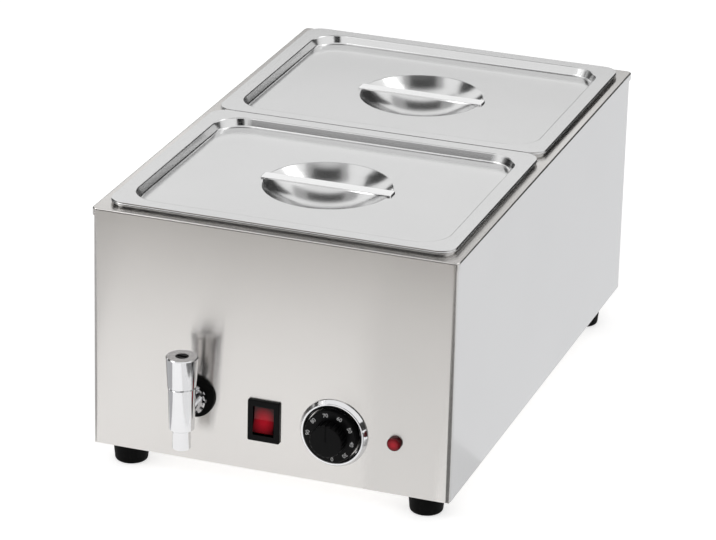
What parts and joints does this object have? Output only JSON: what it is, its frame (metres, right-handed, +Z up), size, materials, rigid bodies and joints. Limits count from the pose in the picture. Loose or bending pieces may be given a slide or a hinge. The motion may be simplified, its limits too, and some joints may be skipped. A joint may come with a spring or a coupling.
{
  "type": "electric bain-marie",
  "caption": "Electric bain-marie: steel casing on rubber feet with lidded food pans in a heated water tank, drain tap, rocker switch, thermostat knob and pilot lamp.",
  "frame": {"origin": "centre of the footprint, tap and gland included, on the floor under the feet", "axes": "+Z up, -Y out of the front panel with the tap and controls, +X to the right as seen from the front"},
  "size_m": [0.345, 0.612, 0.255],
  "materials": {
    "casing_steel": "brushed stainless sheet with a soft mirror",
    "pan_steel": "pressed stainless sheet, satin",
    "polished_steel": "polished stainless strip",
    "chrome": "bright chrome plate",
    "black_steel": "blackened screw",
    "black_rubber": "matt moulded rubber",
    "black_plastic": "moulded, fine grain",
    "red_lens": "tinted see-through plastic",
    "pale_plastic": "moulded, plain",
    "brass": "plain machined",
    "plain_steel": "zinc plated",
    "element_sheath": "heat-darkened sheath",
    "copper": "drawn tube",
    "brown_wire": "heat-proof sleeve",
    "blue_wire": "heat-proof sleeve",
    "white_wire": "heat-proof sleeve"
  },
  "bodies": {
    "casing": {"outer_casing": "casing_steel", "back_panel": "casing_steel", "base_plate": "casing_steel", "tank_rim": "casing_steel", "water_tank": "casing_steel", "foot_screws": "plain_steel", "foot_nuts": "plain_steel", "base_screws": "plain_steel", "back_screws": "plain_steel", "thermostat_body": "pale_plastic", "thermostat_screws": "plain_steel", "knob_bezel": "chrome", "capillary_tube": "copper", "sensing_bulb": "copper", "bulb_clips": "plain_steel", "switch_housing": "black_plastic", "switch_terminals": "brass", "pilot_lamp_lens": "red_lens", "pilot_lamp_body": "pale_plastic", "pilot_lamp_nut": "black_plastic", "tap_body": "chrome", "tap_gasket": "black_rubber", "tap_collar": "chrome", "tap_inner_washer": "black_rubber", "tap_locknut": "brass", "drain_coupling": "brass", "drain_elbow": "plain_steel", "heating_element": "element_sheath", "element_terminals": "brass", "element_clamp_front": "plain_steel", "element_clamp_rear": "plain_steel", "clamp_studs": "plain_steel", "clamp_nuts": "plain_steel", "overheat_cutout": "pale_plastic", "terminal_block": "pale_plastic", "terminal_screws": "brass", "earth_stud": "brass", "cable_gland": "black_plastic", "gland_locknut": "black_plastic", "wire_live": "brown_wire", "wire_neutral": "blue_wire", "wire_thermostat": "white_wire", "wire_element": "white_wire", "foot_front_left": "black_rubber", "foot_front_right": "black_rubber", "foot_back_left": "black_rubber", "foot_back_right": "black_rubber"},
    "pan_front": {"pan_front": "pan_steel"},
    "pan_rear": {"pan_rear": "pan_steel"},
    "lid_front": {"lid_front": "pan_steel", "lid_front_handle": "polished_steel"},
    "lid_rear": {"lid_rear": "pan_steel", "lid_rear_handle": "polished_steel"},
    "tap_valve": {"tap_handle": "chrome", "tap_handle_screw": "black_steel", "tap_plug": "brass", "tap_o_ring": "black_rubber"},
    "rocker": {"switch_rocker": "red_lens"},
    "knob": {"thermostat_knob": "black_plastic", "thermostat_spindle": "brass"}
  },
  "joints": [
    {"name": "pan_front_lift", "type": "slide", "parent": "casing", "child": "pan_front", "axis": [0, 0, 1], "range_m": [0, 0.2]},
    {"name": "pan_rear_lift", "type": "slide", "parent": "casing", "child": "pan_rear", "axis": [0, 0, 1], "range_m": [0, 0.2]},
    {"name": "lid_front_lift", "type": "slide", "parent": "pan_front", "child": "lid_front", "axis": [0, 0, 1], "range_m": [0, 0.12]},
    {"name": "lid_rear_lift", "type": "slide", "parent": "pan_rear", "child": "lid_rear", "axis": [0, 0, 1], "range_m": [0, 0.12]},
    {"name": "tap_turn", "type": "hinge", "parent": "casing", "child": "tap_valve", "pos_m": [-0.0725, -0.2914, 0.084], "axis": [0, 0, 1], "range_deg": [0, 90]},
    {"name": "switch_rock", "type": "hinge", "parent": "casing", "child": "rocker", "pos_m": [-0.005, -0.2574, 0.0705], "axis": [1, 0, 0], "range_deg": [0, 22]},
    {"name": "knob_turn", "type": "hinge", "parent": "casing", "child": "knob", "pos_m": [0.0612, -0.2614, 0.0705], "axis": [0, 1, 0], "range_deg": [-194, 77]}
  ]
}
